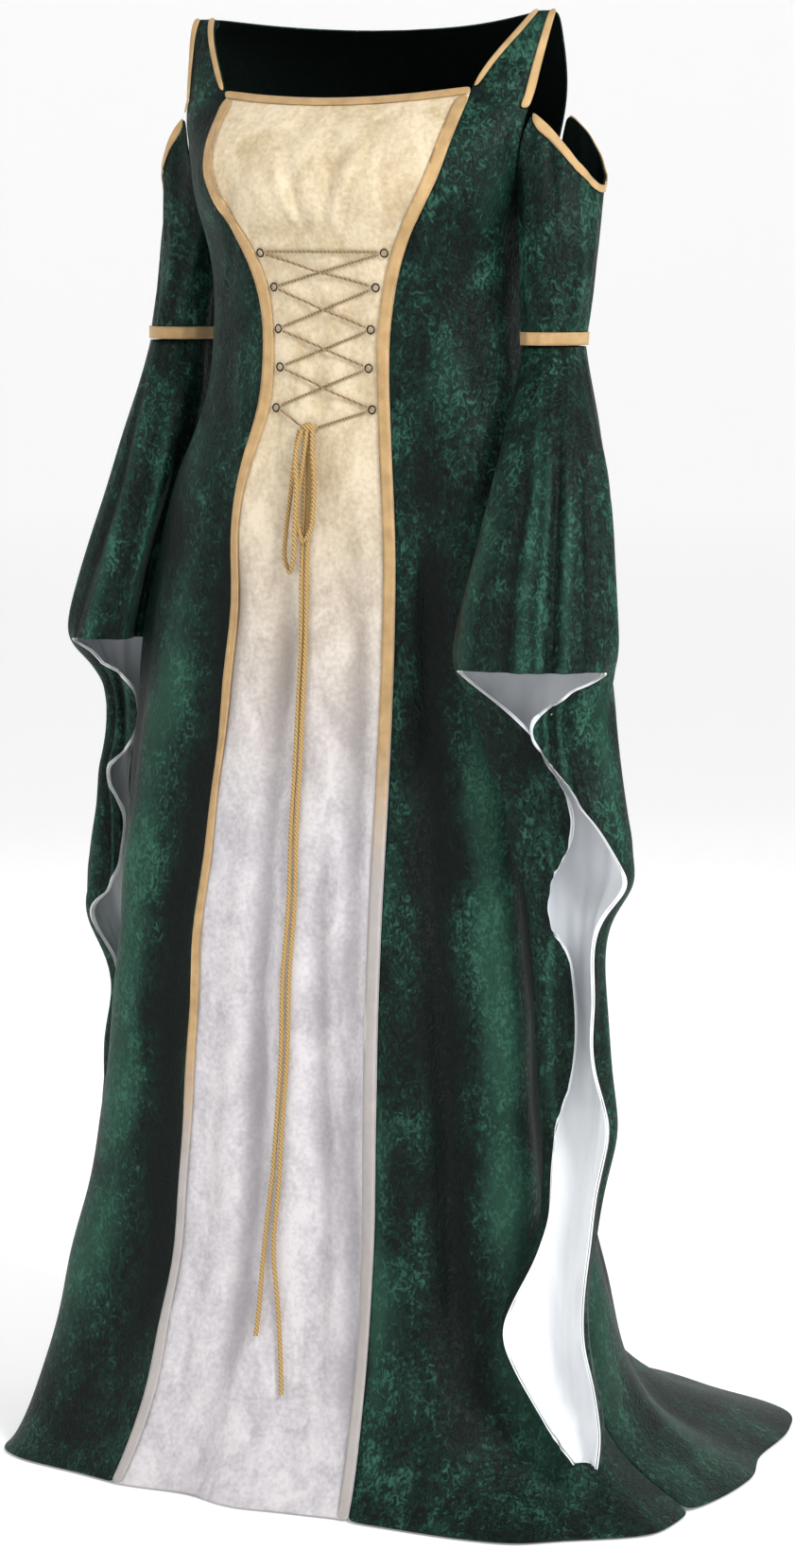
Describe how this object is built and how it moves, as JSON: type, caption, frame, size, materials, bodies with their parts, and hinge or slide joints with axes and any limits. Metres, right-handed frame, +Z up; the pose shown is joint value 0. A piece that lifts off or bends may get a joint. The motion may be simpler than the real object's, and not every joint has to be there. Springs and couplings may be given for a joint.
{
  "type": "medieval gown",
  "caption": "Floor-length medieval gown: green velvet, cream laced front panel, open shoulders, long bell sleeves with pale lining, gold braid and a short train",
  "frame": {"origin": "Between the shoulder straps, at the height where they rest on the wearer's shoulders, on the middle line of the bodice and of the arms", "axes": "+Z up, -Y to the wearer's front, +X to the wearer's left"},
  "size_m": [0.7831, 0.6994, 1.4595],
  "materials": {
    "green_velvet": "dark green crushed velvet",
    "cream_velvet": "cream crushed velvet, turning to pale silver below the waist",
    "satin": "pale silver satin",
    "braid": "flat tan and gold braid",
    "cord": "twisted tan cord",
    "eyelet_bronze": "blackened bronze"
  },
  "bodies": {
    "root": {"armhole_braid_left": "braid", "armhole_braid_right": "braid", "back_panel": "green_velvet", "bell_sleeve_left": "green_velvet", "bell_sleeve_right": "green_velvet", "bow_loop_1": "cord", "bow_loop_2": "cord", "elbow_braid_left": "braid", "elbow_braid_right": "braid", "eyelet_left_1": "eyelet_bronze", "eyelet_left_2": "eyelet_bronze", "eyelet_left_3": "eyelet_bronze", "eyelet_left_4": "eyelet_bronze", "eyelet_left_5": "eyelet_bronze", "eyelet_right_1": "eyelet_bronze", "eyelet_right_2": "eyelet_bronze", "eyelet_right_3": "eyelet_bronze", "eyelet_right_4": "eyelet_bronze", "eyelet_right_5": "eyelet_bronze", "front_panel": "cream_velvet", "lace_bar": "cord", "lace_falling_1": "cord", "lace_falling_2": "cord", "lace_falling_3": "cord", "lace_falling_4": "cord", "lace_knot": "cord", "lace_rising_1": "cord", "lace_rising_2": "cord", "lace_rising_3": "cord", "lace_rising_4": "cord", "lace_tail_1": "cord", "lace_tail_2": "cord", "lace_tie_left": "cord", "lace_tie_right": "cord", "neck_braid": "braid", "panel_braid_left": "braid", "panel_braid_right": "braid", "side_front_left": "green_velvet", "side_front_right": "green_velvet", "sleeve_lining_left": "satin", "sleeve_lining_right": "satin", "sleeve_top_braid_left": "braid", "sleeve_top_braid_right": "braid", "strap_braid_left": "braid", "strap_braid_right": "braid", "upper_sleeve_left": "green_velvet", "upper_sleeve_right": "green_velvet"}
  },
  "joints": []
}
